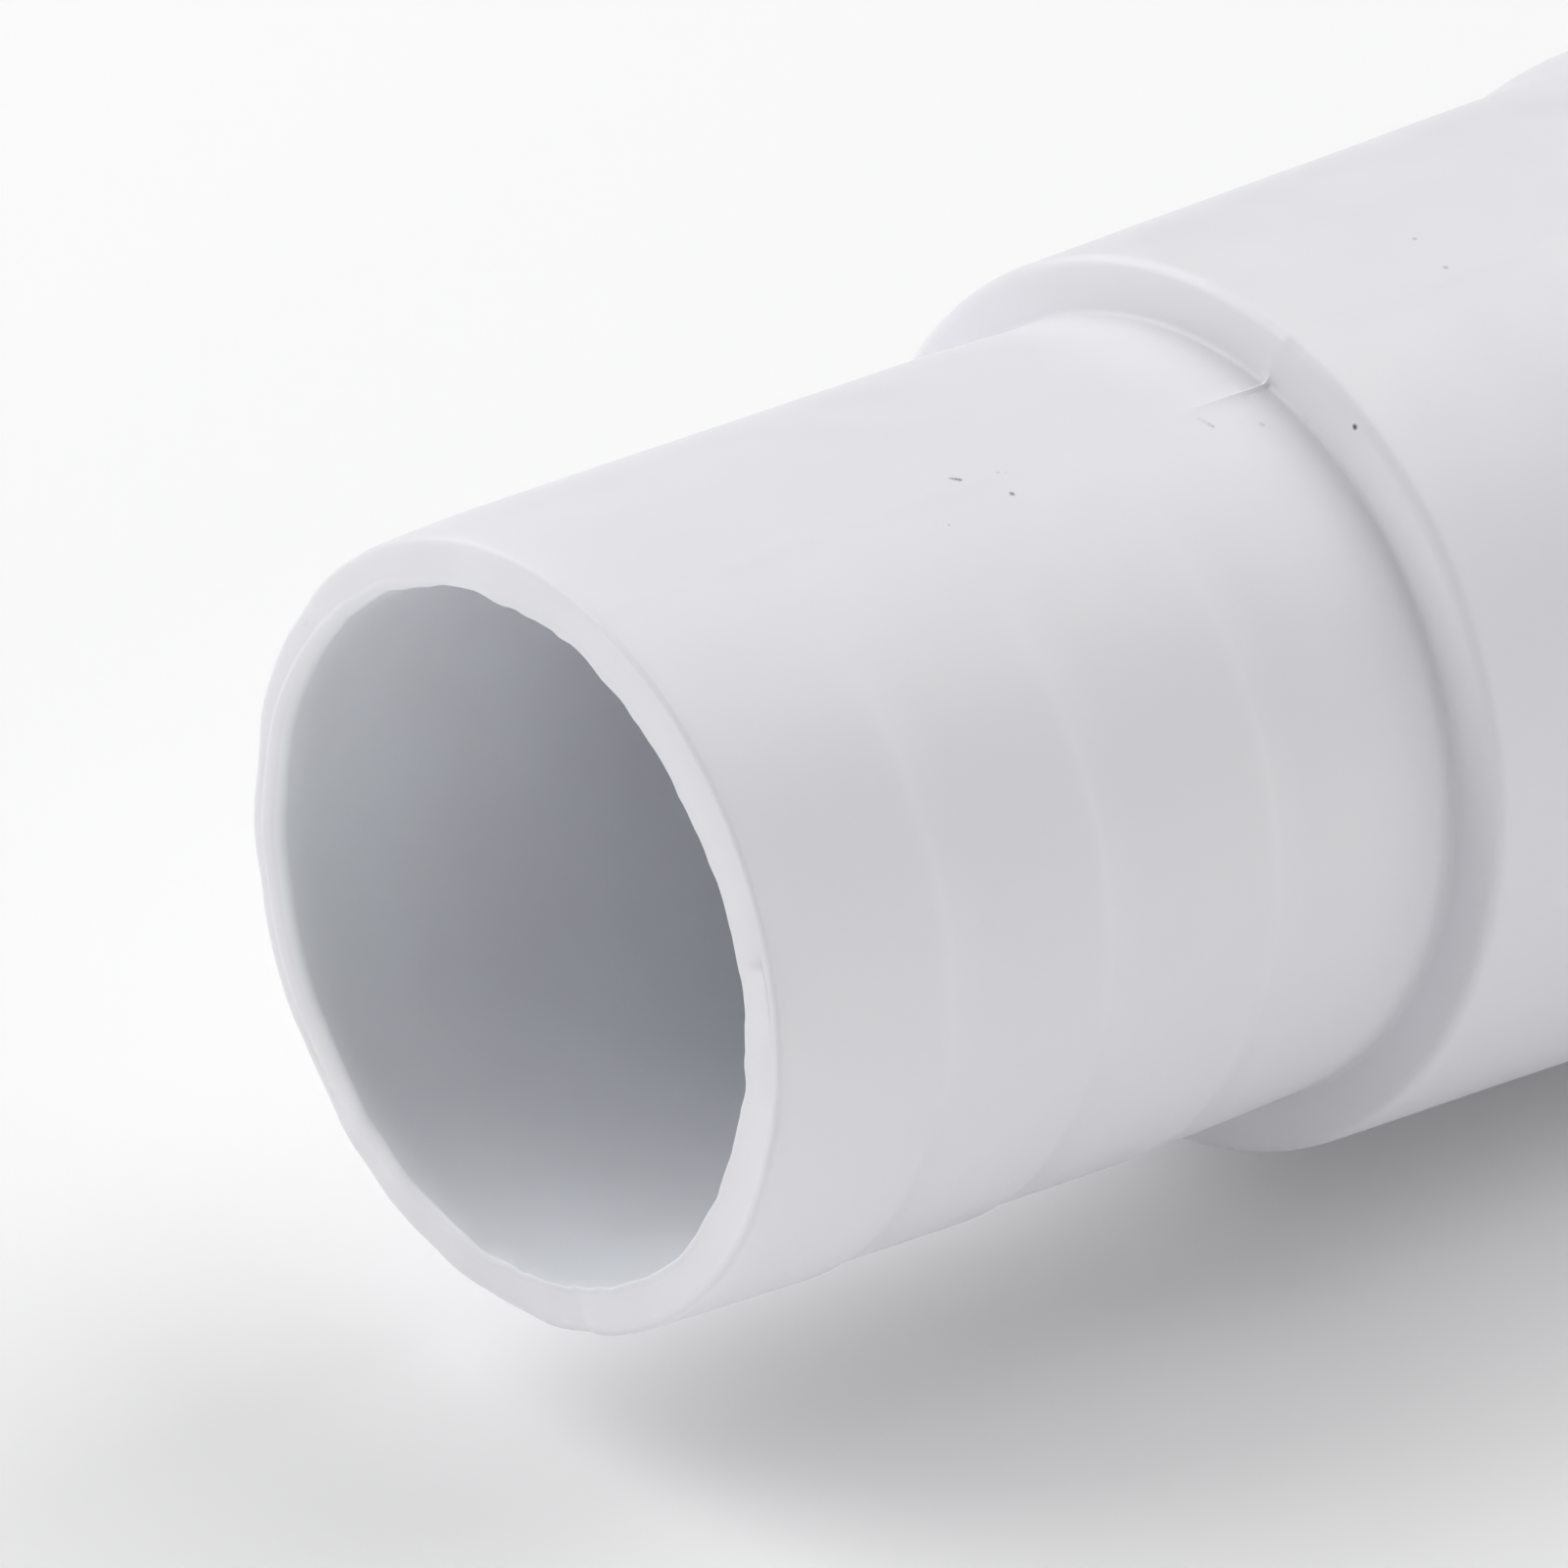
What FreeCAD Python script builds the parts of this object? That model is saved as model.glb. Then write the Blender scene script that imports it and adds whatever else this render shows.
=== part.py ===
"""Section of pool cleaner hose with moulded cuffs, lying level along X.

One blow-moulded piece of white plastic. The plain spigot with its three
shallow barbs points to -X. A shoulder and a smooth collar follow it, then the
corrugated wall, and the plain socket that takes the next section's spigot ends
the hose at +X. Millimetres, +Z up, origin on the floor under mid-length.
"""

import FreeCAD, Part

import os
import re

import Sketcher

NODE = "hose"

# Driving sizes in millimetres, each with the cell alias that the features use
SIZES = [
    ("spigot_length", 42.0, "tip to the shoulder's face"),
    ("tip_radius", 19.0, "outside of the spigot at its tip"),
    ("barb_1_at", 9.7, "crest of the first barb from the tip"),
    ("barb_1_rise", 0.6, "first barb above the tip's outside"),
    ("barb_2_at", 19.3, "crest of the second barb from the tip"),
    ("barb_2_rise", 0.85, "second barb above the tip's outside"),
    ("barb_3_at", 29.9, "crest of the third barb from the tip"),
    ("barb_3_rise", 1.1, "third barb above the tip's outside"),
    ("barb_drop", 0.2, "how far the outside falls behind a barb"),
    ("barb_back", 0.8, "length of the slope behind a barb"),
    ("seat_length", 8.0, "plain seat in front of the shoulder"),
    ("seat_rise", 1.1, "plain seat above the tip's outside"),
    ("spigot_wall", 2.3, "wall of the spigot at its tip"),
    ("shoulder_height", 2.9, "front edge of the collar above the seat"),
    ("collar_flare", 2.0, "far end of the collar above its front edge"),
    ("collar_length", 37.0, "shoulder to the end of the collar"),
    ("collar_wall", 2.2, "wall of the collar and its shoulder"),
    ("lead_length", 4.0, "slope from the collar to the first crest"),
    ("crest_radius", 26.0, "outside of the waves"),
    ("wave_depth", 4.5, "crest to root"),
    ("wave_pitch", 13.5, "crest to crest"),
    ("wave_count", 64, "roots along the hose, a number of copies"),
    ("crest_width", 7.0, "flat of a crest"),
    ("flank_run", 1.4, "length along the hose of one flank"),
    ("wave_wall", 1.3, "wall of the waves"),
    ("socket_length", 49.5, "plain socket behind the last crest"),
    ("socket_wall", 2.2, "wall of the socket"),
    ("socket_press", 0.3, "how much less the socket's bore is than the seat"),
    ("shoulder_fillet", 0.3, "hollow fillet where the spigot meets the shoulder"),
    ("collar_round", 0.6, "round on the collar's front edge"),
    ("rim_round", 0.3, "round on the outer edges of the two rims"),
    ("tool_overcut", 1.0, "how far a groove's outline runs past the wall"),
    ("rest_turn", 4.0, "degrees that the hose is turned about its axis as it lies still"),
]

# Distances from the hose's axis
SPIGOT_BORE = "(tip_radius - spigot_wall)"
SEAT_RADIUS = "(tip_radius + seat_rise)"
COLLAR_RADIUS = f"({SEAT_RADIUS} + shoulder_height)"
COLLAR_END_RADIUS = f"({COLLAR_RADIUS} + collar_flare)"
SOCKET_BORE = f"({SEAT_RADIUS} - socket_press)"
SOCKET_RADIUS = f"({SOCKET_BORE} + socket_wall)"

# Places along the hose, measured from the spigot's tip
COLLAR_END = "(spigot_length + collar_length)"
WAVES_START = "(spigot_length + collar_length + lead_length)"
WAVES_END = f"({WAVES_START} + wave_count * wave_pitch)"
LAST_CREST_END = f"({WAVES_END} + crest_width / 2)"
HOSE_LENGTH = f"({LAST_CREST_END} + socket_length)"

# The inside of a wave follows the outside at the wall's thickness
CREST_INSIDE = "(crest_radius - wave_wall)"
ROOT_OUTSIDE = "(crest_radius - wave_depth)"
ROOT_INSIDE = "(crest_radius - wave_depth - wave_wall)"
CREST_INSIDE_HALF = "(crest_width / 2 - wave_wall * tan(atan(wave_depth / flank_run) / 2))"
ROOT_HALF = "((wave_pitch - crest_width) / 2 - flank_run)"
CUT_FLANK = "(flank_run * (wave_depth + tool_overcut) / wave_depth)"


def value(doc, formula):
    """Work a formula of aliases out with the sheet's present values."""
    return float(doc.Sizes.evalExpression(formula))


def bound(formula):
    """Turn a formula of aliases into an expression that a feature can hold."""
    return re.sub(r"\b[a-z]+_[a-z0-9_]+\b", r"Sizes.\g<0>", formula)


def make_sheet(doc):
    """Keep the driving sizes in a spreadsheet, one alias for each."""
    sheet = doc.addObject("Spreadsheet::Sheet", "Sizes")
    for row, (alias, size, meaning) in enumerate(SIZES, start=1):
        sheet.set(f"A{row}", meaning)
        sheet.set(f"B{row}", str(size))
        sheet.setAlias(f"B{row}", alias)
    doc.recompute()


def origin_feature(body, role):
    """Return the body's own origin plane or axis that has this role."""
    return next(f for f in body.Origin.OriginFeatures if f.Role == role)


def outline(body, name, corners):
    """Sketch a closed outline of straight sides on the body's XZ plane.

    A corner is a pair of formulas: its distance along the hose from the
    spigot's tip, and its radius from the hose's axis.
    """
    sketch = body.newObject("Sketcher::SketchObject", name)
    sketch.AttachmentSupport = [(origin_feature(body, "XZ_Plane"), "")]
    sketch.MapMode = "FlatFace"
    doc = body.Document
    points = [FreeCAD.Vector(value(doc, along), value(doc, radius), 0) for along, radius in corners]
    for i, point in enumerate(points):
        sketch.addGeometry(Part.LineSegment(point, points[(i + 1) % len(points)]))
    for i in range(len(points)):
        following = (i + 1) % len(points)
        sketch.addConstraint(Sketcher.Constraint("Coincident", i, 2, following, 1))
    for i, (along, radius) in enumerate(corners):
        for kind, formula, size in (
            ("DistanceX", along, points[i].x),
            ("DistanceY", radius, points[i].y),
        ):
            index = sketch.addConstraint(Sketcher.Constraint(kind, -1, 1, i, 1, size))
            sketch.setExpression(f"Constraints[{index}]", bound(formula))
    return sketch


def turned(body, kind, name, corners):
    """Turn an outline about the hose's axis, as a solid or as a groove."""
    sketch = outline(body, name + "Outline", corners)
    feature = body.newObject(kind, name)
    feature.Profile = sketch
    feature.ReferenceAxis = (origin_feature(body, "X_Axis"), [""])
    feature.Angle = 360
    body.Document.recompute()
    return feature


def circles_at(feature, along, radius):
    """Name the feature's round edges at this place and radius."""
    doc = feature.Document
    centre, size = value(doc, along), value(doc, radius)
    names = []
    for i, edge in enumerate(feature.Shape.Edges, start=1):
        curve = edge.Curve
        if isinstance(curve, Part.Circle):
            if abs(curve.Center.x - centre) < 1e-4 and abs(curve.Radius - size) < 1e-4:
                names.append(f"Edge{i}")
    return names


def rounded(body, base, name, size, places):
    """Round the feature's circular edges at the given places and radii."""
    feature = body.newObject("PartDesign::Fillet", name)
    edges = [edge for along, radius in places for edge in circles_at(base, along, radius)]
    feature.Base = (base, edges)
    feature.setExpression("Radius", bound(size))
    body.Document.recompute()
    return feature


def repeated(body, groove, name, count):
    """Repeat a groove along the hose at the pitch of the waves."""
    pattern = body.newObject("PartDesign::LinearPattern", name)
    pattern.Originals = [groove]
    pattern.Direction = (origin_feature(body, "X_Axis"), [""])
    pattern.Mode = "Spacing"
    pattern.setExpression("Offset", bound("wave_pitch"))
    pattern.setExpression("Occurrences", bound(count))
    body.Tip = pattern
    body.Document.recompute()
    return pattern


def blank_corners():
    """Outline of the whole hose before its waves are cut."""
    spigot = [("0", "tip_radius")]
    for barb in (1, 2, 3):
        at, radius = f"barb_{barb}_at", f"tip_radius + barb_{barb}_rise"
        spigot += [(at, radius), (f"{at} + barb_back", f"{radius} - barb_drop")]
    spigot += [("spigot_length - seat_length", SEAT_RADIUS), ("spigot_length", SEAT_RADIUS)]
    outer_fall = f"flank_run * (crest_radius - {SOCKET_RADIUS}) / wave_depth"
    outside = [
        ("spigot_length", COLLAR_RADIUS),
        (COLLAR_END, COLLAR_END_RADIUS),
        (WAVES_START, "crest_radius"),
        (LAST_CREST_END, "crest_radius"),
        (f"{LAST_CREST_END} + {outer_fall}", SOCKET_RADIUS),
        (HOSE_LENGTH, SOCKET_RADIUS),
    ]
    inner_fall = f"flank_run * ({CREST_INSIDE} - {SOCKET_BORE}) / wave_depth"
    inside = [
        (HOSE_LENGTH, SOCKET_BORE),
        (f"{WAVES_END} + {CREST_INSIDE_HALF} + {inner_fall}", SOCKET_BORE),
        (f"{WAVES_END} + {CREST_INSIDE_HALF}", CREST_INSIDE),
        (f"{WAVES_END} - {CREST_INSIDE_HALF}", CREST_INSIDE),
        (f"{WAVES_END} - {CREST_INSIDE_HALF} - flank_run", ROOT_INSIDE),
        (f"{WAVES_START} + {CREST_INSIDE_HALF} + flank_run", ROOT_INSIDE),
        (f"{WAVES_START} + {CREST_INSIDE_HALF}", CREST_INSIDE),
        (WAVES_START, CREST_INSIDE),
        (COLLAR_END, f"{COLLAR_END_RADIUS} - collar_wall"),
        ("spigot_length + collar_wall", f"{COLLAR_RADIUS} - collar_wall"),
        ("spigot_length + collar_wall", SPIGOT_BORE),
        ("0", SPIGOT_BORE),
    ]
    return spigot + outside + inside


def root_corners():
    """Outline of the first groove outside, which leaves a root."""
    middle = f"({WAVES_START} + wave_pitch / 2)"
    top = "crest_radius + tool_overcut"
    return [
        (f"{middle} - {ROOT_HALF}", ROOT_OUTSIDE),
        (f"{middle} + {ROOT_HALF}", ROOT_OUTSIDE),
        (f"{middle} + {ROOT_HALF} + {CUT_FLANK}", top),
        (f"{middle} - {ROOT_HALF} - {CUT_FLANK}", top),
    ]


def crest_corners():
    """Outline of the first groove inside, which hollows a crest."""
    middle = f"({WAVES_START} + wave_pitch)"
    mouth = f"{ROOT_INSIDE} - tool_overcut"
    return [
        (f"{middle} - {CREST_INSIDE_HALF}", CREST_INSIDE),
        (f"{middle} + {CREST_INSIDE_HALF}", CREST_INSIDE),
        (f"{middle} + {CREST_INSIDE_HALF} + {CUT_FLANK}", mouth),
        (f"{middle} - {CREST_INSIDE_HALF} - {CUT_FLANK}", mouth),
    ]


def make_hose(doc):
    """Turn the blank, round its edges, then cut the waves into it."""
    body = doc.addObject("PartDesign::Body", "Hose")
    body.Label = NODE
    blank = turned(body, "PartDesign::Revolution", "Blank", blank_corners())
    shoulder = rounded(
        body, blank, "ShoulderFillet", "shoulder_fillet",
        [("spigot_length", SEAT_RADIUS)],
    )
    collar = rounded(
        body, shoulder, "CollarRound", "collar_round",
        [("spigot_length", COLLAR_RADIUS)],
    )
    rounded(
        body, collar, "RimRound", "rim_round",
        [("0", "tip_radius"), (HOSE_LENGTH, SOCKET_RADIUS)],
    )
    root = turned(body, "PartDesign::Groove", "Root", root_corners())
    repeated(body, root, "Roots", "wave_count")
    crest = turned(body, "PartDesign::Groove", "CrestInside", crest_corners())
    repeated(body, crest, "CrestsInside", "wave_count - 1")
    body.Placement.Rotation = FreeCAD.Rotation(FreeCAD.Vector(1, 0, 0), 0)
    body.setExpression("Placement.Rotation.Angle", bound("rest_turn"))
    body.setExpression("Placement.Base.x", bound(f"-{HOSE_LENGTH} / 2"))
    body.setExpression("Placement.Base.z", bound("crest_radius"))
    return body


def check(doc):
    """Stop when a sketch, feature or expression of the document failed."""
    for item in doc.Objects:
        if {"Invalid", "Error"} & set(item.State):
            raise RuntimeError(f"{item.Label} failed: {item.State}")


def main():
    doc = FreeCAD.newDocument("PoolHose")
    make_sheet(doc)
    body = make_hose(doc)
    doc.recompute()
    check(doc)
    shape = body.Shape
    if shape.isNull() or not shape.isValid() or len(shape.Solids) != 1:
        raise RuntimeError(f"{body.Label} is not one valid solid")
    os.makedirs("parts", exist_ok=True)
    shape.exportStep(f"parts/{body.Label}.step")
    box = shape.BoundBox
    print(f"{body.Label}: {len(shape.Faces)} faces, {shape.Volume:.1f} mm3,"
          f" {box.XLength:.2f} x {box.YLength:.2f} x {box.ZLength:.2f} mm")


main()
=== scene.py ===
"""A section of pool cleaner hose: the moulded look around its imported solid."""

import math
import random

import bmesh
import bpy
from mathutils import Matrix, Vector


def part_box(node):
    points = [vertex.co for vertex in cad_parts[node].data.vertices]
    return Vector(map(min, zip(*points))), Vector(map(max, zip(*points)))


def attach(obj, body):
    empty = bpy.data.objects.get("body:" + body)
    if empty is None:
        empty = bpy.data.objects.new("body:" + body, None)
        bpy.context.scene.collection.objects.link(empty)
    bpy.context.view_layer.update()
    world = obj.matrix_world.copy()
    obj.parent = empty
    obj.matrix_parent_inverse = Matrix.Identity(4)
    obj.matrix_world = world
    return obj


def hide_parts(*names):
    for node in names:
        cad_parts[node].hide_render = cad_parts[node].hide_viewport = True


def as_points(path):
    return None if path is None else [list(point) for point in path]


bl_info = {
    "name": "Pool Hose Section",
    "version": (1, 0),
    "blender": (4, 5, 0),
    "location": "View3D > Sidebar > Hose",
    "description": "Models a corrugated pool hose section with its moulded cuffs",
    "category": "Object",
}

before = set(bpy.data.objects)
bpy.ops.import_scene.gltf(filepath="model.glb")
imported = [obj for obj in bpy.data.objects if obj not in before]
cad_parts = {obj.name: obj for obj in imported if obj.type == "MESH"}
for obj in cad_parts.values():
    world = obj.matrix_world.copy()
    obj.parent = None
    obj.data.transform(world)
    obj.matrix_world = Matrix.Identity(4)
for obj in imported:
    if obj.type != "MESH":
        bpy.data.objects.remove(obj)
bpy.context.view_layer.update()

NODE = "hose"
LOW, HIGH = (Vector(corner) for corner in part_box(NODE))
AXIS_HEIGHT = (LOW.z + HIGH.z) / 2

# Merging and picking distances, far below any size of the hose
WELD = 2e-6
PICK = 2e-5


def length(name, description, default):
    """A size in metres that the sidebar shows as a length."""
    return bpy.props.FloatProperty(
        name=name, description=description, default=default, unit="LENGTH", precision=5
    )


def angle(name, description, degrees):
    """A turn, given in degrees."""
    return bpy.props.FloatProperty(
        name=name, description=description, default=math.radians(degrees), subtype="ANGLE"
    )


def plain(name, description, default):
    """A number without a unit."""
    return bpy.props.FloatProperty(name=name, description=description, default=default)


def count(name, description, default):
    """A whole number."""
    return bpy.props.IntProperty(name=name, description=description, default=default, min=1)


def colour(name, description, default):
    """A scene-linear colour."""
    return bpy.props.FloatVectorProperty(
        name=name, description=description, default=default, subtype="COLOR", min=0, max=1
    )


class HoseSizes(bpy.types.PropertyGroup):
    """Sizes of the hose, along it from the spigot's tip and outwards from its axis."""

    spigot_length: length("Spigot length", "Tip to the shoulder's face", 0.042)
    tip_radius: length("Tip radius", "Outside of the spigot at its tip", 0.019)
    spigot_bore: length("Spigot bore", "Radius of the water way in the spigot", 0.0167)
    barb_1_at: length("First barb", "Crest of the first barb", 0.0097)
    barb_1_radius: length("First barb radius", "Outside of the first barb", 0.0196)
    barb_2_at: length("Second barb", "Crest of the second barb", 0.0193)
    barb_2_radius: length("Second barb radius", "Outside of the second barb", 0.01985)
    barb_3_at: length("Third barb", "Crest of the third barb", 0.0299)
    barb_3_radius: length("Third barb radius", "Outside of the third barb", 0.0201)
    barb_drop: length("Barb drop", "Fall of the outside behind a barb", 0.0002)
    barb_back: length("Barb back", "Length of the slope behind a barb", 0.0008)
    barb_round: length("Barb round", "Reach of the round on a barb's crest", 0.0003)
    seat_length: length("Seat length", "Plain seat in front of the shoulder", 0.008)
    seat_radius: length("Seat radius", "Outside of the plain seat", 0.0201)
    shoulder_fillet: length("Shoulder fillet", "Hollow between spigot and shoulder", 0.0003)

    collar_radius: length("Collar radius", "Outside of the collar at the shoulder", 0.023)
    collar_end_radius: length("Collar end radius", "Outside of the collar's far end", 0.025)
    collar_length: length("Collar length", "Shoulder to the end of the collar", 0.0385)
    collar_wall: length("Collar wall", "Wall of the collar", 0.0022)
    collar_round: length("Collar round", "Round on the collar's front edge", 0.0006)
    lead_length: length("Lead", "Slope from the collar to the first crest", 0.0025)

    crest_radius: length("Crest radius", "Outside of the waves", 0.026)
    wave_depth: length("Wave depth", "Crest to root", 0.0045)
    wave_pitch: length("Wave pitch", "Crest to crest", 0.0135)
    wave_count: count("Waves", "Roots along the hose", 64)
    crest_width: length("Crest width", "Flat of a crest", 0.007)
    flank_run: length("Flank run", "Length along the hose of one flank", 0.0014)
    wave_wall: length("Wave wall", "Wall of the waves", 0.0013)
    crest_round: length("Crest round", "Reach of the round on a crest's edge", 0.0013)
    root_round: length("Root round", "Reach of the round at a flank's foot", 0.0008)

    socket_length: length("Socket length", "Last crest to the socket's rim", 0.0495)
    socket_radius: length("Socket radius", "Outside of the socket", 0.022)
    socket_bore: length("Socket bore", "Bore that takes the next spigot", 0.0198)
    rim_round: length("Rim round", "Round on the outer edge of a rim", 0.0003)

    lip_sides: count("Lip sides", "Faces round the bore's lip", 256)
    cuff_sides: count("Cuff sides", "Faces round the cuff", 128)
    wave_sides: count("Wave sides", "Faces round the outside of a wave", 56)
    inner_sides: count("Inner sides", "Faces round the inside of a wave", 40)

    @property
    def collar_end(self):
        """Place where the collar meets its lead."""
        return self.spigot_length + self.collar_length

    @property
    def first_crest(self):
        """Middle of the first crest."""
        return self.collar_end + self.lead_length

    @property
    def last_crest(self):
        """Middle of the last crest."""
        return self.first_crest + self.wave_count * self.wave_pitch

    @property
    def root_radius(self):
        """Outside of the roots between the waves."""
        return self.crest_radius - self.wave_depth

    @property
    def crest_inside(self):
        """Inside of the crests."""
        return self.crest_radius - self.wave_wall

    @property
    def root_inside(self):
        """Inside of the roots."""
        return self.root_radius - self.wave_wall

    @property
    def crest_inside_half(self):
        """Half the flat inside a crest, where the wall keeps its thickness round the corner."""
        half_turn = math.atan(self.wave_depth / self.flank_run) / 2
        return self.crest_width / 2 - self.wave_wall * math.tan(half_turn)


class MouldMarks(bpy.types.PropertyGroup):
    """Marks that moulding and trimming leave on the plastic."""

    parting: angle("Parting line", "Turn of the parting line from the top to the front", 20)
    parting_width: length("Parting width", "Width of the ridge on the parting line", 0.0004)
    parting_height: length("Parting height", "Height of the ridge on the cuff", 0.00004)
    wave_parting: length("Wave parting", "Height of the ridge on the waves", 0.00001)
    flash_height: length("Flash height", "Height of the flash beside the shoulder", 0.00013)
    flash_length: length("Flash length", "Length of that flash", 0.0068)
    flash_rise: length("Flash rise", "How far the flash climbs the shoulder's face", 0.0007)
    front_fade_start: angle("Front fade start", "Nearest to the parting line that rings show", 10)
    front_fade_end: angle("Front fade end", "Where the rings have their full height", 32)
    back_fade_start: angle("Back fade start", "The same as the front's, behind the parting line", 50)
    back_fade_end: angle("Back fade end", "The same as the front's, behind the parting line", 80)
    burr_height: length("Burr height", "Height of the burr round the bore's edge", 0.0001)
    burr_width: length("Burr width", "Width of the burr's outer slope", 0.00017)
    lip_width: length("Lip width", "Part of the rim's face that the bore's lip takes", 0.0017)
    lip_depth: length("Lip depth", "How far the lip reaches into the bore", 0.0015)
    lip_sharp: length("Lip sharp", "Rounding of the lip where the knife cut it clean", 0.0001)
    lip_round: length("Lip round", "Rounding of the lip on its softest side", 0.0013)
    lip_turn: angle("Lip turn", "Turn of that side from the parting line to the back", 120)
    trim_depth: length("Trim depth", "Unevenness of the cut rim", 0.00018)
    trim_reach: length("Trim reach", "How far the rim's unevenness reaches along the hose", 0.0012)
    trim_wander: length("Trim wander", "How far the bore's cut edge leaves its circle", 0.00022)
    trim_nick: length("Trim nick", "How deep the knife nicks the rim's outer edge", 0.00015)
    trim_cuts: count("Trim cuts", "Strokes of the knife round the rim", 52)
    sink_depth: length("Sink depth", "Depth of the gentle hollows in the skin", 0.0001)
    sink_size: length("Sink size", "Size of those hollows", 0.014)


class PlasticLook(bpy.types.PropertyGroup):
    """Colour and surface of the white plastic."""

    white: colour("White", "Main colour of the plastic", (0.862, 0.857, 0.9))
    warm_white: colour("Warm white", "Colour of its broad patches", (0.87, 0.865, 0.895))
    # Painted light: the inside faces get a lighter, cooler white than the outside, which lifts and
    # tints the shaded bore
    bore_painted_light: colour("Bore painted light", "White painted inside, lighter and cooler, as light in the bore", (0.895, 0.925, 0.967))
    speck: colour("Speck", "Colour of burnt specks in the plastic", (0.1, 0.095, 0.1))
    roughness: plain("Roughness", "Roughness of the satin skin", 0.42)
    scatter: plain("Scatter", "Share of the light that enters the plastic", 0.2)
    scatter_depth: length("Scatter depth", "How deep light enters the plastic", 0.002)


class StageLook(bpy.types.PropertyGroup):
    """Camera, floor and light."""

    lens: plain("Lens", "Focal length in millimetres on a 36 mm sensor", 150.7)
    pitch: angle("Pitch", "Downward tilt of the camera", 22.92)
    swing: angle("Swing", "Turn of the view from the hose's axis", 48.46)
    tip_right: length("Tip right", "Tip's place to the right of the view's centre", -0.01293)
    tip_down: length("Tip down", "Tip's place below the view's centre", 0.00721)
    tip_ahead: length("Tip ahead", "Tip's distance in front of the camera", 0.30013)
    floor: colour("Floor", "Colour of the floor", (0.93, 0.93, 0.93))
    glow: plain("Glow", "Brightness of the light that shines through the floor", 0.04)
    far_glow: plain("Far glow", "The same far away, where the soft lights don't reach", 0.75)
    glow_start: length("Glow start", "Distance from mid-length where the glow starts to grow", 0.8)
    glow_end: length("Glow end", "Distance where it is at its brightest", 1.9)
    sky: plain("Sky", "Brightness of the light from all round", 0.09)
    key: plain("Key", "Power of the soft light behind the spigot's tip, in watts", 13.9)
    back: plain("Back", "Power of the soft light behind the cuff, in watts", 5.6)
    top: plain("Top", "Power of the soft light above the waves, in watts", 12.2)
    fill: plain("Fill", "Power of the low light beside the camera, in watts", 3.6)
    front: plain("Front", "Power of the weak light in front of the spigot's tip, in watts", 0.7)


def deselect_all():
    """Leave the CAD nodes and every earlier piece out of the next operator."""
    if bpy.context.object and bpy.context.object.mode == "EDIT":
        bpy.ops.object.mode_set(mode="OBJECT")
    bpy.ops.object.select_all(action="DESELECT")


def select_only(*pieces):
    """Select these pieces, the last one active."""
    deselect_all()
    for piece in pieces:
        piece.select_set(True)
        bpy.context.view_layer.objects.active = piece


def pick(piece, kind, test):
    """Select the vertices, edges or faces of a piece in edit mode that pass a test."""
    bpy.ops.mesh.select_mode(type=kind)
    bpy.ops.mesh.select_all(action="DESELECT")
    mesh = bmesh.from_edit_mesh(piece.data)
    parts = {"VERT": mesh.verts, "EDGE": mesh.edges, "FACE": mesh.faces}[kind]
    picked = [part for part in parts if test(part)]
    for part in picked:
        part.select = True
    mesh.select_flush_mode()
    bmesh.update_edit_mesh(piece.data)
    return len(picked)


def turned_skin(name, start, runs, sides, rounds=()):
    """Draw an outline beside the X axis, round its corners and turn it into a skin.

    A run is (along, radius, step): the place where it ends, and the greatest
    spacing of its points. A round is (along, radius, reach, segments).
    """
    deselect_all()
    bpy.ops.mesh.primitive_plane_add(size=PICK)
    piece = bpy.context.object
    piece.name = name
    bpy.ops.object.mode_set(mode="EDIT")
    bpy.ops.mesh.select_mode(type="VERT")
    bpy.ops.mesh.select_all(action="SELECT")
    bpy.ops.mesh.merge(type="CENTER")
    here = Vector((start[0], 0, start[1]))
    bpy.ops.transform.translate(value=here)
    for along, radius, step in runs:
        there = Vector((along, 0, radius))
        parts = max(1, math.ceil((there - here).length / step - 0.01))
        for _ in range(parts):
            move = {"value": (there - here) / parts}
            bpy.ops.mesh.extrude_vertices_move(TRANSFORM_OT_translate=move)
        here = there
    for along, radius, reach, segments in rounds:
        corner = Vector((along, 0, radius))
        if pick(piece, "VERT", lambda vertex: (vertex.co - corner).length < PICK) != 1:
            raise RuntimeError(f"{name} has no corner at {along}, {radius}")
        bpy.ops.mesh.bevel(affect="VERTICES", offset=reach, segments=segments)
    bpy.ops.mesh.select_all(action="SELECT")
    bpy.ops.mesh.spin(steps=sides, angle=math.tau, center=(0, 0, 0), axis=(1, 0, 0))
    bpy.ops.mesh.select_all(action="SELECT")
    bpy.ops.mesh.remove_doubles(threshold=WELD)
    bpy.ops.mesh.normals_make_consistent(inside=False)
    bpy.ops.object.mode_set(mode="OBJECT")
    return piece


def off_axis(point):
    """Distance of a point from the hose's axis while it is modelled on the X axis."""
    return math.hypot(point.y, point.z)


def cut_parting_feet(piece, marks):
    """Cut edges along both feet of the parting ridges, at a skin's top and bottom."""
    select_only(piece)
    bpy.ops.object.mode_set(mode="EDIT")
    for side in (-0.5, 0.5):
        bpy.ops.mesh.select_all(action="SELECT")
        foot = (0, side * marks.parting_width, 0)
        bpy.ops.mesh.bisect(plane_co=foot, plane_no=(0, 1, 0), threshold=WELD)
    bpy.ops.object.mode_set(mode="OBJECT")


def raise_parting_line(piece, marks, height, inner, bare=lambda point: False):
    """Raise the two parting lines, which run along a skin's top and bottom, to fine ridges.

    The ridges keep outside the inner radius and off the points that stay bare.
    """
    cut_parting_feet(piece, marks)

    def on_ridge(vertex):
        return abs(vertex.co.y) < WELD and off_axis(vertex.co) > inner and not bare(vertex.co)

    bpy.ops.object.mode_set(mode="EDIT")
    pick(piece, "VERT", on_ridge)
    bpy.ops.transform.shrink_fatten(value=height)
    bpy.ops.object.mode_set(mode="OBJECT")


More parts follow.
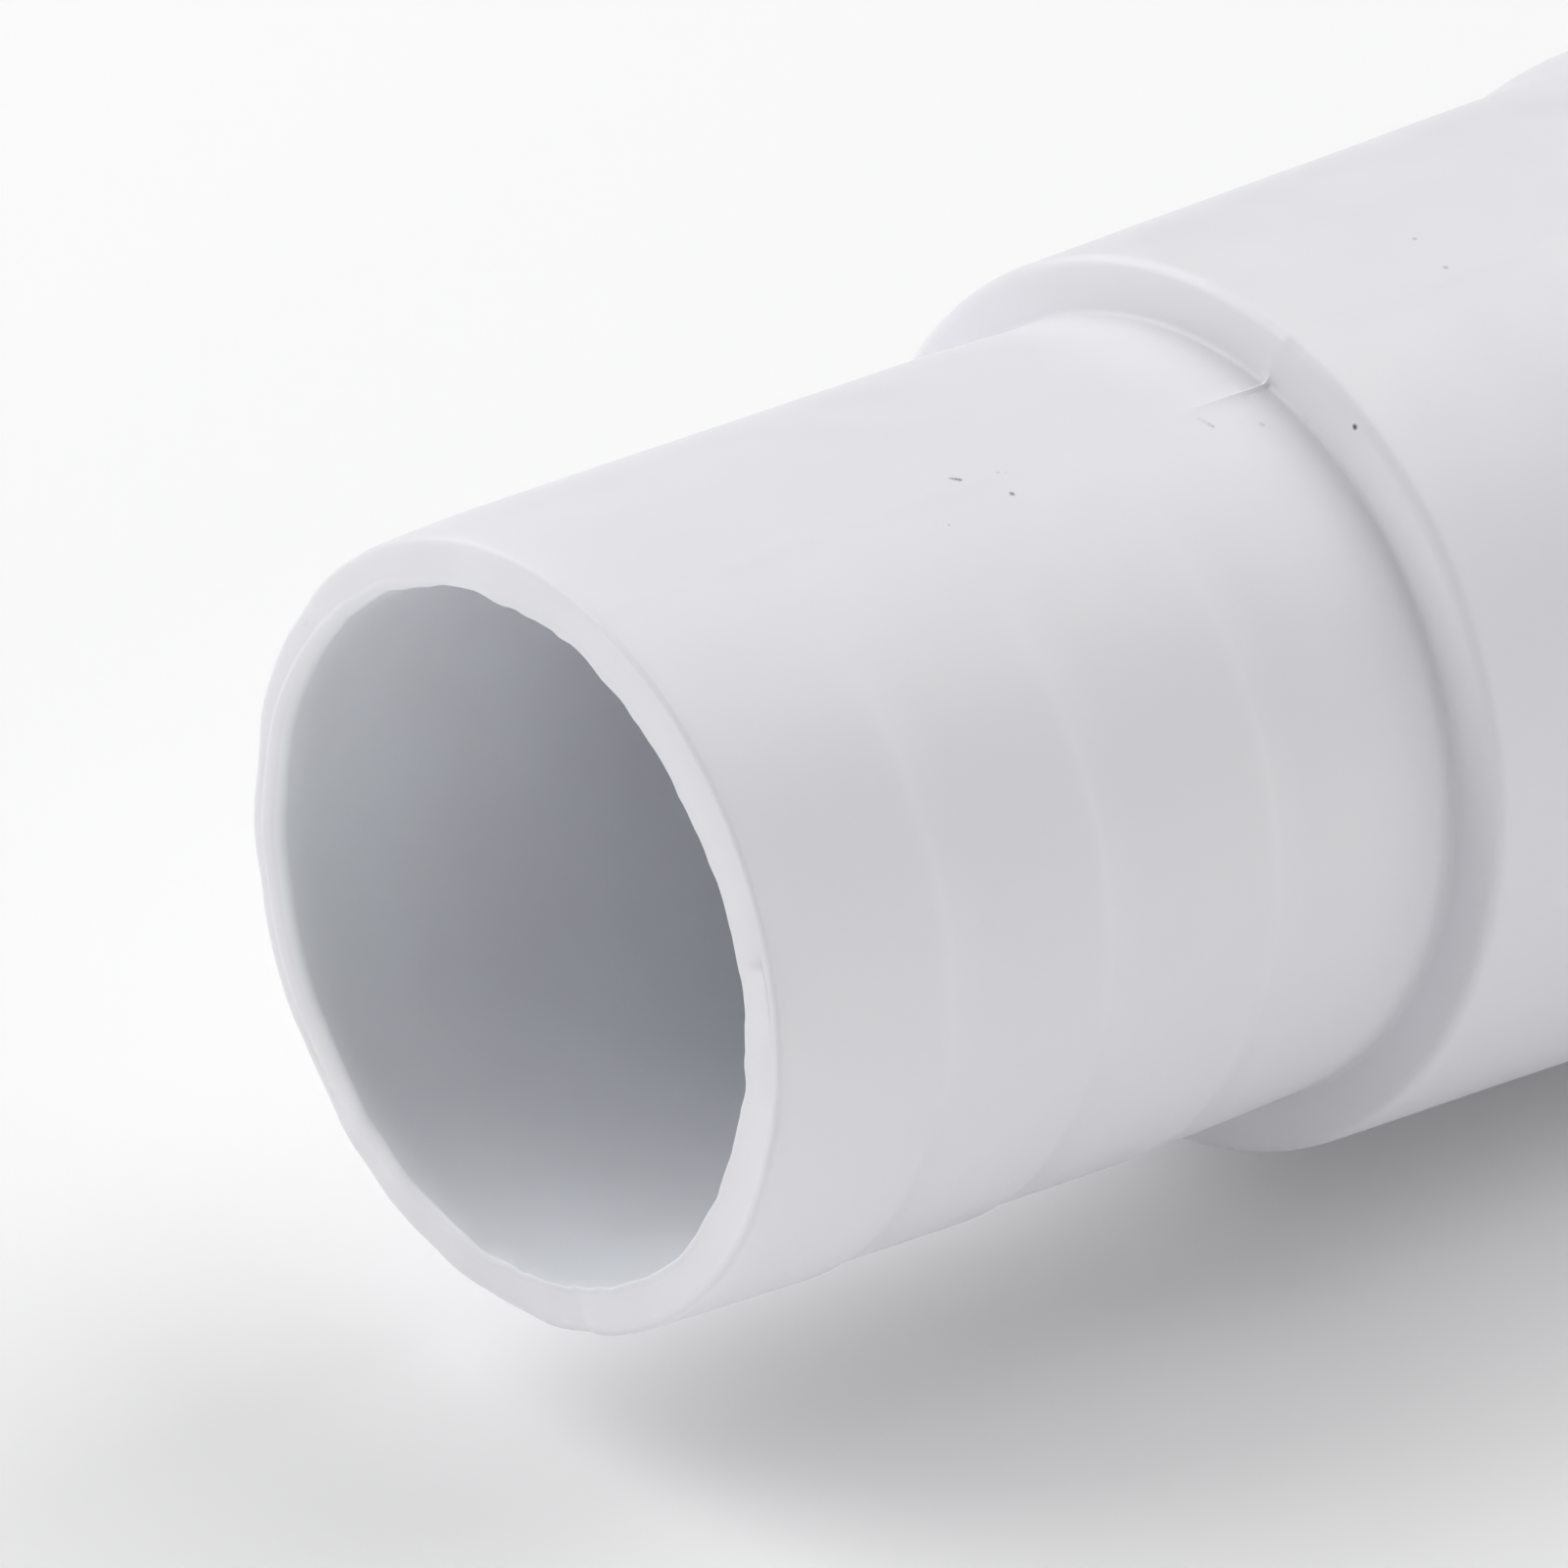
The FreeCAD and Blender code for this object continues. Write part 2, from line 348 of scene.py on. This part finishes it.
def raise_flash(piece, sizes, marks):
    """Let the upper parting line swell to a sliver of flash where it meets the shoulder."""
    start = sizes.spigot_length - marks.flash_length
    for vertex in piece.data.vertices:
        point = vertex.co
        beside = abs(point.y) < WELD and point.z > 0
        low = off_axis(point) < sizes.seat_radius + marks.flash_rise - PICK
        if beside and low and start < point.x < sizes.spigot_length + PICK:
            share = ((point.x - start) / marks.flash_length) ** 1.5
            vertex.co = point + vertex.normal * marks.flash_height * share


def ragged(seed, cuts):
    """Return a wandering line from -1 to 1 round the hose, straight between its kinks."""
    draw = random.Random(seed)
    kinks = [(i + draw.uniform(-0.35, 0.35)) / cuts for i in range(cuts)]
    heights = [draw.uniform(-1, 1) for _ in kinks]
    kinks = [kinks[-1] - 1, *kinks, kinks[0] + 1]
    heights = [heights[-1], *heights, heights[0]]

    def line(point):
        turn = (math.atan2(point.y, point.z) / math.tau) % 1
        for i, kink in enumerate(kinks[1:]):
            if turn <= kink:
                share = (turn - kinks[i]) / (kink - kinks[i])
                return heights[i] + (heights[i + 1] - heights[i]) * share
        return heights[-1]

    return line


def shaped(piece, move):
    """Move every vertex of a piece to where a rule puts it."""
    for vertex in piece.data.vertices:
        vertex.co = move(vertex.co.copy())


def turned_out(point, radius):
    """Return a point moved straight out from the axis to a radius."""
    share = radius / off_axis(point)
    return Vector((point.x, point.y * share, point.z * share))


def trim_rim(piece, sizes, marks):
    """Make the rim's face and its outer edge uneven, as a knife leaves them."""
    depth = ragged(3, marks.trim_cuts)

    def move(point):
        if point.x < marks.trim_reach:
            share = 1 - max(0, point.x) / marks.trim_reach
            point.x += marks.trim_depth * (0.5 + depth(point) / 2) * share
            radius = off_axis(point)
            if radius > sizes.tip_radius - 2 * sizes.rim_round + PICK:
                point = turned_out(point, radius - marks.trim_nick * max(0, depth(point)) * share)
        return point

    shaped(piece, move)


def fade_rings(piece, sizes, marks):
    """Smooth the barbs away where they near the upper parting line."""
    start = Vector((sizes.barb_1_at / 2, (sizes.tip_radius + sizes.barb_1_radius) / 2))
    end = Vector((sizes.spigot_length - sizes.seat_length, sizes.seat_radius))
    front = (marks.front_fade_start, marks.front_fade_end)
    back = (marks.back_fade_start, marks.back_fade_end)

    def move(point):
        if start.x < point.x < end.x:
            turn = abs(math.atan2(point.y, point.z))
            fade_start, fade_end = back if point.y > 0 else front
            share = min(1, max(0, (turn - fade_start) / (fade_end - fade_start)))
            share = share * share * (3 - 2 * share)
            plain_radius = start.y + (end.y - start.y) * (point.x - start.x) / (end.x - start.x)
            radius = off_axis(point)
            point = turned_out(point, plain_radius + (radius - plain_radius) * share)
        return point

    shaped(piece, move)


def sink_skin(piece, marks):
    """Let a skin sink and swell a little, as cooling plastic does."""
    hollows = bpy.data.textures.new("hollows", "CLOUDS")
    hollows.noise_scale = marks.sink_size
    sinks = piece.modifiers.new("Sinks", "DISPLACE")
    sinks.texture = hollows
    sinks.texture_coords = "LOCAL"
    sinks.strength = marks.sink_depth
    sinks.mid_level = 0.5
    select_only(piece)
    bpy.ops.object.modifier_apply(modifier=sinks.name)


def bore_lip(sizes, marks):
    """The bore's mouth, soft on one side and cut ragged on the other, inside a fine burr."""
    bore = sizes.spigot_bore
    runs = [(0, bore + marks.lip_width, marks.lip_width / 10)]
    piece = turned_skin("bore_lip", (0, bore), runs, sizes.lip_sides)
    coarse = ragged(8, marks.trim_cuts)
    fine = ragged(11, 3 * marks.trim_cuts)

    def move(point):
        ring = round((off_axis(point) - bore) / marks.lip_width * 10)
        if ring == 0:
            return Vector((marks.lip_depth, point.y, point.z))
        facing = math.cos(math.atan2(point.y, point.z) - marks.lip_turn)
        soft = max(0, facing) ** 1.3
        reach = marks.lip_sharp + (marks.lip_round - marks.lip_sharp) * soft
        crest = marks.burr_height * -0.8 * min(0, facing)
        if ring <= 6:
            turn = (ring - 1) / 5 * math.pi / 2
            point.x = crest + 0.4 * reach * (1 - math.sin(turn))
            radius = bore + reach * (1 - math.cos(turn))
        elif ring == 7:
            point.x = crest
            radius = bore + reach + 0.2 * marks.burr_width
        elif ring < 10:
            point.x = marks.burr_height
            radius = bore + reach + (1.2 if ring == 8 else 1.7) * marks.burr_width
        else:
            return Vector((marks.burr_height, point.y, point.z))
        wander = 0.6 * coarse(point) + 0.4 * fine(point)
        return turned_out(point, radius + marks.trim_wander * wander * (1 - soft))

    shaped(piece, move)
    trim_rim(piece, sizes, marks)
    return piece


def cuff_outside(sizes, marks):
    """The rim's face, the barbed spigot, the shoulder, the collar and the first crest."""
    rim = marks.burr_height
    barbs = [
        (sizes.barb_1_at, sizes.barb_1_radius),
        (sizes.barb_2_at, sizes.barb_2_radius),
        (sizes.barb_3_at, sizes.barb_3_radius),
    ]
    shoulder = sizes.spigot_length
    crest_end = sizes.first_crest + sizes.crest_width / 2
    root_start = crest_end + sizes.flank_run
    runs = [
        (rim, sizes.tip_radius, 0.0012),
        (rim + 0.001, sizes.tip_radius + 0.00005, 0.002),
    ]
    rounds = [(rim, sizes.tip_radius, sizes.rim_round, 4)]
    foot = (rim + 0.001, sizes.tip_radius + 0.00005)
    for at, radius in barbs:
        before = sizes.barb_round * 2.5 / (at - foot[0])
        shy = (at - (at - foot[0]) * before, radius - (radius - foot[1]) * before)
        foot = (at + sizes.barb_back, radius - sizes.barb_drop)
        runs += [(*shy, 0.0019), (at, radius, 0.01), (*foot, 0.01)]
        rounds.append((at, radius, sizes.barb_round, 2))
    hollow = 0.003
    runs += [
        (shoulder - sizes.seat_length, sizes.seat_radius, 0.0018),
        (shoulder - hollow, sizes.seat_radius, 0.0013),
        (shoulder - sizes.shoulder_fillet * 1.6, sizes.seat_radius, 0.0005),
        (shoulder, sizes.seat_radius, 0.01),
        (shoulder, sizes.seat_radius + marks.flash_rise / 2, 0.01),
        (shoulder, sizes.seat_radius + marks.flash_rise, 0.01),
        (shoulder, sizes.collar_radius - sizes.collar_round * 1.6, 0.01),
        (shoulder, sizes.collar_radius, 0.01),
        (shoulder + sizes.collar_round * 1.6, sizes.collar_radius + 0.00005, 0.01),
        (sizes.collar_end, sizes.collar_end_radius, 0.0025),
        (sizes.first_crest, sizes.crest_radius, 0.01),
        (crest_end, sizes.crest_radius, 0.01),
        (root_start, sizes.root_radius, 0.01),
        (sizes.first_crest + sizes.wave_pitch / 2 - WAVE_GAP, sizes.root_radius, 0.01),
    ]
    rounds += [
        (shoulder, sizes.seat_radius, sizes.shoulder_fillet, 4),
        (shoulder, sizes.collar_radius, sizes.collar_round, 5),
        (sizes.collar_end, sizes.collar_end_radius, 0.001, 3),
        (sizes.first_crest, sizes.crest_radius, 0.0014, 4),
        (crest_end, sizes.crest_radius, sizes.crest_round, 4),
        (root_start, sizes.root_radius, sizes.root_round, 3),
    ]
    start = (rim, sizes.spigot_bore + marks.lip_width + LIP_GAP)
    piece = turned_skin("cuff_outside", start, runs, sizes.cuff_sides, rounds)
    fade_rings(piece, sizes, marks)

    def on_face(point):
        return abs(point.x - shoulder) < PICK and off_axis(point) > sizes.seat_radius + PICK

    raise_parting_line(piece, marks, marks.parting_height, sizes.tip_radius + PICK, on_face)
    raise_flash(piece, sizes, marks)
    sink_skin(piece, marks)
    trim_rim(piece, sizes, marks)
    return piece


# Gaps that the bridges between neighbouring skins fill
WAVE_GAP = 0.0004
LIP_GAP = 0.0001


def cuff_inside(sizes, marks):
    """The water way of the spigot, the hollow collar and the inside of the first crest."""
    behind_shoulder = sizes.spigot_length + sizes.collar_wall
    crest_end = sizes.first_crest + sizes.crest_inside_half
    runs = [
        (behind_shoulder, sizes.spigot_bore, 0.003),
        (behind_shoulder, sizes.collar_radius - sizes.collar_wall, 0.01),
        (sizes.collar_end, sizes.collar_end_radius - sizes.collar_wall, 0.006),
        (sizes.first_crest, sizes.crest_inside, 0.01),
        (crest_end, sizes.crest_inside, 0.01),
        (crest_end + sizes.flank_run, sizes.root_inside, 0.01),
        (sizes.first_crest + sizes.wave_pitch / 2 - WAVE_GAP, sizes.root_inside, 0.01),
    ]
    rounds = [(behind_shoulder, sizes.spigot_bore, 0.0008, 3)]
    start = (marks.lip_depth + LIP_GAP, sizes.spigot_bore)
    piece = turned_skin("cuff_inside", start, runs, sizes.cuff_sides, rounds)
    cut_parting_feet(piece, marks)
    return piece


def waves(name, sizes, crest, root, crest_half, sides, rounds, marks=None):
    """A row of waves, from the middle of one root to the middle of another."""
    middle = sizes.wave_pitch / 2
    foot = crest_half + sizes.flank_run
    runs = [
        (middle - foot, root, 0.01),
        (middle - crest_half, crest, 0.01),
        (middle + crest_half, crest, 0.01),
        (middle + foot, root, 0.01),
        (sizes.wave_pitch, root, 0.01),
    ]
    corners = []
    if rounds:
        top, foot_round = rounds
        corners = [
            (middle - foot, root, *foot_round),
            (middle - crest_half, crest, *top),
            (middle + crest_half, crest, *top),
            (middle + foot, root, *foot_round),
        ]
    piece = turned_skin(name, (0, root), runs, sides, corners)
    if marks:
        raise_parting_line(piece, marks, marks.wave_parting, sizes.root_inside)
    array = piece.modifiers.new("Row", "ARRAY")
    array.count = sizes.wave_count - 1
    array.use_relative_offset = False
    array.use_constant_offset = True
    array.constant_offset_displace = (sizes.wave_pitch, 0, 0)
    select_only(piece)
    bpy.ops.object.modifier_apply(modifier=array.name)
    bpy.ops.object.mode_set(mode="EDIT")
    bpy.ops.mesh.select_all(action="SELECT")
    bpy.ops.mesh.remove_doubles(threshold=PICK)
    bpy.ops.transform.translate(value=(sizes.first_crest + middle, 0, 0))
    bpy.ops.object.mode_set(mode="OBJECT")
    return piece


def socket(sizes):
    """The last crest and the plain socket, outside and inside."""
    end = sizes.last_crest + sizes.crest_width / 2 + sizes.socket_length
    start = (sizes.last_crest - sizes.wave_pitch / 2 + WAVE_GAP, sizes.root_radius)
    half = sizes.crest_width / 2
    inside_half = sizes.crest_inside_half
    slope = sizes.flank_run / sizes.wave_depth
    fall = slope * (sizes.crest_radius - sizes.socket_radius)
    inner_fall = slope * (sizes.crest_inside - sizes.socket_bore)
    runs = [
        (sizes.last_crest - half - sizes.flank_run, sizes.root_radius, 0.01),
        (sizes.last_crest - half, sizes.crest_radius, 0.01),
        (sizes.last_crest + half, sizes.crest_radius, 0.01),
        (sizes.last_crest + half + fall, sizes.socket_radius, 0.01),
        (end, sizes.socket_radius, 0.005),
        (end, sizes.socket_bore, 0.01),
        (sizes.last_crest + inside_half + inner_fall, sizes.socket_bore, 0.005),
        (sizes.last_crest + inside_half, sizes.crest_inside, 0.01),
        (sizes.last_crest - inside_half, sizes.crest_inside, 0.01),
        (sizes.last_crest - inside_half - sizes.flank_run, sizes.root_inside, 0.01),
        (start[0], sizes.root_inside, 0.01),
    ]
    rounds = [
        (sizes.last_crest - half - sizes.flank_run, sizes.root_radius, sizes.root_round, 2),
        (sizes.last_crest - half, sizes.crest_radius, sizes.crest_round, 3),
        (sizes.last_crest + half, sizes.crest_radius, sizes.crest_round, 3),
        (sizes.last_crest + half + fall, sizes.socket_radius, sizes.root_round, 3),
        (end, sizes.socket_radius, sizes.rim_round, 3),
        (end, sizes.socket_bore, sizes.rim_round, 3),
    ]
    return turned_skin("socket", start, runs, sizes.wave_sides, rounds)


def bridge_skins(piece, low, high, inner, outer):
    """Bridge the two open loops between these places and radii."""

    def on_loop(edge):
        return edge.is_boundary and all(
            low - PICK < vertex.co.x < high + PICK and inner < off_axis(vertex.co) < outer
            for vertex in edge.verts
        )

    if not pick(piece, "EDGE", on_loop):
        raise RuntimeError(f"no open loops between {low} and {high}")
    bpy.ops.mesh.bridge_edge_loops()


def hose_section(sizes, marks):
    """Model the hose's whole skin as one closed mesh."""
    outside = (sizes.crest_radius, sizes.root_radius, sizes.crest_width / 2)
    inside = (sizes.crest_inside, sizes.root_inside, sizes.crest_inside_half)
    rounds = ((sizes.crest_round, 3), (sizes.root_round, 2))
    skins = [
        bore_lip(sizes, marks),
        cuff_inside(sizes, marks),
        waves("waves_outside", sizes, *outside, sizes.wave_sides, rounds, marks),
        waves("waves_inside", sizes, *inside, sizes.inner_sides, None),
        socket(sizes),
        cuff_outside(sizes, marks),
    ]
    select_only(*skins)
    bpy.ops.object.join()
    piece = bpy.context.object
    piece.name = piece.data.name = "hose_section"
    bpy.ops.object.mode_set(mode="EDIT")
    first = sizes.first_crest + sizes.wave_pitch / 2
    last = sizes.last_crest - sizes.wave_pitch / 2
    between = (sizes.root_radius + sizes.root_inside) / 2
    middle = sizes.spigot_bore + marks.lip_width / 2
    bridge_skins(piece, -marks.trim_reach, marks.trim_reach, middle, sizes.tip_radius)
    bridge_skins(piece, marks.lip_depth, marks.lip_depth + LIP_GAP, 0, middle)
    for low, high in ((first - WAVE_GAP, first), (last, last + WAVE_GAP)):
        bridge_skins(piece, low, high, between, sizes.crest_radius)
        bridge_skins(piece, low, high, 0, between)
    if pick(piece, "EDGE", lambda edge: not edge.is_manifold):
        raise RuntimeError("the hose's skin isn't closed")
    bpy.ops.mesh.select_all(action="SELECT")
    bpy.ops.mesh.normals_make_consistent(inside=False)
    # Without a window, transform.rotate turns the other way round the axis
    bpy.ops.transform.rotate(
        value=-marks.parting, orient_axis="X", orient_type="GLOBAL", center_override=(0, 0, 0)
    )
    bpy.ops.transform.translate(value=(LOW.x, 0, AXIS_HEIGHT))
    bpy.ops.object.mode_set(mode="OBJECT")
    bpy.ops.object.shade_smooth_by_angle(angle=math.radians(32))
    return piece


def node_tree(name):
    """Start a material and return it with its tree, shader and object coordinates."""
    material = bpy.data.materials.new(name)
    material.use_nodes = True
    tree = material.node_tree
    shader = tree.nodes["Principled BSDF"]
    place = tree.nodes.new("ShaderNodeTexCoord")
    return material, tree, shader, place.outputs["Object"]


def noise(tree, place, scale, detail=2.0, roughness=0.5):
    """Add a noise pattern with this many waves to the metre."""
    node = tree.nodes.new("ShaderNodeTexNoise")
    node.inputs["Scale"].default_value = scale
    node.inputs["Detail"].default_value = detail
    node.inputs["Roughness"].default_value = roughness
    tree.links.new(place, node.inputs["Vector"])
    return node.outputs["Fac"]


def ranged(tree, value, low, high, to_low, to_high):
    """Turn one range of a value into another."""
    node = tree.nodes.new("ShaderNodeMapRange")
    for name, number in (
        ("From Min", low), ("From Max", high), ("To Min", to_low), ("To Max", to_high)
    ):
        node.inputs[name].default_value = number
    tree.links.new(value, node.inputs["Value"])
    return node.outputs["Result"]


# Burnt specks and scratches: turn from the top to the front in degrees, place
# along the hose from the tip, distance from the axis, size, and strength
SPECKS = (
    (17.9, 0.0221, 0.0198, 0.00011, 0.3),
    (18.1, 0.0222, 0.0198, 0.00014, 0.5),
    (18.4, 0.02233, 0.0198, 0.00015, 0.65),
    (18.7, 0.02246, 0.0198, 0.00015, 0.7),
    (24.0, 0.02416, 0.0198, 0.00018, 0.7),
    (19.8, 0.02452, 0.0198, 0.00015, 0.3),
    (20.2, 0.02489, 0.0198, 0.00012, 0.25),
    (25.5, 0.01981, 0.0198, 0.00014, 0.4),
    (22.1, 0.0368, 0.02005, 0.00018, 0.1),
    (22.8, 0.0369, 0.02005, 0.0002, 0.16),
    (23.5, 0.037, 0.02005, 0.0002, 0.24),
    (24.0, 0.03708, 0.02005, 0.00016, 0.35),
    (26.3, 0.03968, 0.0201, 0.0002, 0.2),
    (19.3, 0.04065, 0.0202, 0.00013, 0.25),
    (34.7, 0.042, 0.02235, 0.00019, 0.97),
    (11.9, 0.05414, 0.0236, 0.00018, 0.3),
    (18.4, 0.05364, 0.0236, 0.0002, 0.3),
)


def specked(tree, place, white, speck):
    """Darken a colour at the specks and return the new one."""
    darkest = None
    for turn, along, radius, size, strength in SPECKS:
        turn = math.radians(turn)
        spot = tree.nodes.new("ShaderNodeVectorMath")
        spot.operation = "DISTANCE"
        tree.links.new(place, spot.inputs[0])
        spot.inputs[1].default_value = (
            LOW.x + along,
            -radius * math.sin(turn),
            AXIS_HEIGHT + radius * math.cos(turn),
        )
        dark = ranged(tree, spot.outputs["Value"], 0.4 * size, size, strength, 0.0)
        if darkest:
            larger = tree.nodes.new("ShaderNodeMath")
            larger.operation = "MAXIMUM"
            tree.links.new(darkest, larger.inputs[0])
            tree.links.new(dark, larger.inputs[1])
            dark = larger.outputs["Value"]
        darkest = dark
    mix = tree.nodes.new("ShaderNodeMix")
    mix.data_type = "RGBA"
    tree.links.new(darkest, mix.inputs["Factor"])
    tree.links.new(white, mix.inputs["A"])
    mix.inputs["B"].default_value = (*speck, 1)
    return mix.outputs["Result"]


def plastic(name, look, white, patch_white, specks=False):
    """Satin moulded plastic with faint patches, fine grain and, if wanted, specks."""
    material, tree, shader, place = node_tree(name)
    patches = ranged(tree, noise(tree, place, 60, 3.0), 0.35, 0.65, 0.0, 1.0)
    mix = tree.nodes.new("ShaderNodeMix")
    mix.data_type = "RGBA"
    tree.links.new(patches, mix.inputs["Factor"])
    mix.inputs["A"].default_value = (*white, 1)
    mix.inputs["B"].default_value = (*patch_white, 1)
    skin = mix.outputs["Result"]
    if specks:
        skin = specked(tree, place, skin, look.speck)
    tree.links.new(skin, shader.inputs["Base Color"])
    gloss = noise(tree, place, 220, 4.0)
    rough = ranged(tree, gloss, 0.3, 0.7, look.roughness - 0.05, look.roughness + 0.05)
    tree.links.new(rough, shader.inputs["Roughness"])
    bump = tree.nodes.new("ShaderNodeBump")
    bump.inputs["Strength"].default_value = 0.12
    bump.inputs["Distance"].default_value = 0.0001
    tree.links.new(noise(tree, place, 900, 5.0), bump.inputs["Height"])
    tree.links.new(bump.outputs["Normal"], shader.inputs["Normal"])
    shader.inputs["Subsurface Weight"].default_value = look.scatter
    shader.inputs["Subsurface Radius"].default_value = (1.0, 0.95, 0.9)
    shader.inputs["Subsurface Scale"].default_value = look.scatter_depth
    return material


def paint_light_inside(piece, material):
    """Give the faces that look towards the hose's axis a lighter, cooler copy of the white: painted
    light that lifts and cools the shaded bore.
    """
    piece.data.materials.append(material)
    select_only(piece)
    bpy.ops.object.mode_set(mode="EDIT")
    axis = Vector((0, 0, AXIS_HEIGHT))

    def faces_axis(face):
        outwards = face.calc_center_median() - axis
        outwards.x = 0
        return face.normal.dot(outwards.normalized()) < -0.2

    pick(piece, "FACE", faces_axis)
    piece.active_material_index = len(piece.data.materials) - 1
    bpy.ops.object.material_slot_assign()
    bpy.ops.object.mode_set(mode="OBJECT")


def route_points():
    """The hose's own line, read from a smooth curve through its length."""
    quarter = (HIGH.x - LOW.x) / 4
    curve = bpy.data.curves.new("route", "CURVE")
    curve.dimensions = "3D"
    spline = curve.splines.new("NURBS")
    spline.points.add(4)
    for i, point in enumerate(spline.points):
        point.co = (LOW.x + i * quarter, 0, AXIS_HEIGHT, 1)
    spline.order_u = 3
    spline.use_endpoint_u = True
    route = bpy.data.objects.new("route", curve)
    bpy.context.scene.collection.objects.link(route)
    line = bpy.data.meshes.new_from_object(route)
    points = [vertex.co.copy() for vertex in line.vertices]
    bpy.data.objects.remove(route)
    bpy.data.meshes.remove(line)
    return points


class HOSE_OT_section(bpy.types.Operator):
    """Model the corrugated hose with its spigot, collar and socket."""

    bl_idname = "hose.section"
    bl_label = "Hose Section"

    def execute(self, context):
        scene = context.scene
        piece = hose_section(scene.hose_sizes, scene.mould_marks)
        look = scene.plastic_look
        piece.data.materials.clear()
        outside = plastic("white_plastic", look, look.white, look.warm_white, specks=True)
        piece.data.materials.append(outside)
        # Painted light: a lighter, cooler copy of the white on the faces towards the axis lifts the
        # shaded bore
        paint_light_inside(piece, plastic("bore_plastic_painted_light", look, look.bore_painted_light, look.white))
        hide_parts(NODE)
        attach(piece, "root")
        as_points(route_points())
        return {"FINISHED"}


def studio_light(name, place, target, size, power):
    """Add a soft square light that faces a point."""
    deselect_all()
    bpy.ops.object.light_add(type="AREA", location=place)
    light = bpy.context.object
    light.name = name
    light.data.size = size
    light.data.energy = power
    light.rotation_euler = (Vector(target) - Vector(place)).to_track_quat("-Z", "Y").to_euler()
    return light


class HOSE_OT_stage(bpy.types.Operator):
    """Set the floor, the lights and the camera of the photograph."""

    bl_idname = "hose.stage"
    bl_label = "Stage"

    def execute(self, context):
        scene = context.scene
        stage = scene.stage_look
        deselect_all()
        bpy.ops.mesh.primitive_plane_add(size=12)
        floor = context.object
        floor.name = "floor"
        material, tree, shader, place = node_tree("pale_floor")
        shader.inputs["Base Color"].default_value = (*stage.floor, 1)
        shader.inputs["Roughness"].default_value = 0.8
        shader.inputs["Emission Color"].default_value = (1, 1, 1, 1)
        away = tree.nodes.new("ShaderNodeVectorMath")
        away.operation = "LENGTH"
        tree.links.new(place, away.inputs[0])
        glow = ranged(
            tree, away.outputs["Value"],
            stage.glow_start, stage.glow_end, stage.glow, stage.far_glow,
        )
        tree.links.new(glow, shader.inputs["Emission Strength"])
        floor.data.materials.append(material)

        # The camera looks level along (cos, sin) of its heading, then tilts down
        heading = stage.swing
        ahead = Vector((
            math.cos(heading) * math.cos(stage.pitch),
            math.sin(heading) * math.cos(stage.pitch),
            -math.sin(stage.pitch),
        ))
        right = Vector((math.sin(heading), -math.cos(heading), 0))
        down = ahead.cross(right)
        tip = Vector((LOW.x, 0, AXIS_HEIGHT))
        eye = tip - right * stage.tip_right - down * stage.tip_down - ahead * stage.tip_ahead
        bpy.ops.object.camera_add(location=eye)
        camera = context.object
        camera.data.lens = stage.lens
        camera.data.clip_start = 0.01
        camera.rotation_euler = Matrix((right, -down, -ahead)).transposed().to_euler()
        scene.camera = camera

        cuff = (-0.45, 0, 0.03)
        studio_light("key", (-1.25, 0.8, 1.0), cuff, 1.3, stage.key)
        studio_light("back", (-0.45, 1.1, 1.0), cuff, 1.3, stage.back)
        studio_light("top", (0.4, -0.2, 1.2), cuff, 1.4, stage.top)
        studio_light("fill", (-0.2, -1.4, 0.35), cuff, 0.8, stage.fill)
        studio_light("front", (-1.5, -0.6, 0.55), cuff, 0.9, stage.front)
        world = bpy.data.worlds.new("studio")
        world.use_nodes = True
        sky = world.node_tree.nodes["Background"]
        sky.inputs["Color"].default_value = (1, 1, 1, 1)
        sky.inputs["Strength"].default_value = stage.sky
        scene.world = world
        scene.view_settings.view_transform = "Standard"
        return {"FINISHED"}


class HOSE_PT_panel(bpy.types.Panel):
    """The pieces of the hose and its stage."""

    bl_label = "Pool Hose"
    bl_idname = "HOSE_PT_panel"
    bl_space_type = "VIEW_3D"
    bl_region_type = "UI"
    bl_category = "Hose"

    def draw(self, context):
        for operator in (HOSE_OT_section, HOSE_OT_stage):
            self.layout.operator(operator.bl_idname)


GROUPS = {
    "hose_sizes": HoseSizes,
    "mould_marks": MouldMarks,
    "plastic_look": PlasticLook,
    "stage_look": StageLook,
}
CLASSES = (*GROUPS.values(), HOSE_OT_section, HOSE_OT_stage, HOSE_PT_panel)


def register():
    """Register the classes and hang the settings on the scene."""
    for cls in CLASSES:
        bpy.utils.register_class(cls)
    for name, group in GROUPS.items():
        setattr(bpy.types.Scene, name, bpy.props.PointerProperty(type=group))


def unregister():
    """Take the settings and the classes away again."""
    for name in GROUPS:
        delattr(bpy.types.Scene, name)
    for cls in reversed(CLASSES):
        bpy.utils.unregister_class(cls)


def main():
    """Build the hose and its stage."""
    register()
    bpy.ops.hose.stage()
    bpy.ops.hose.section()


if __name__ == "__main__":
    main()
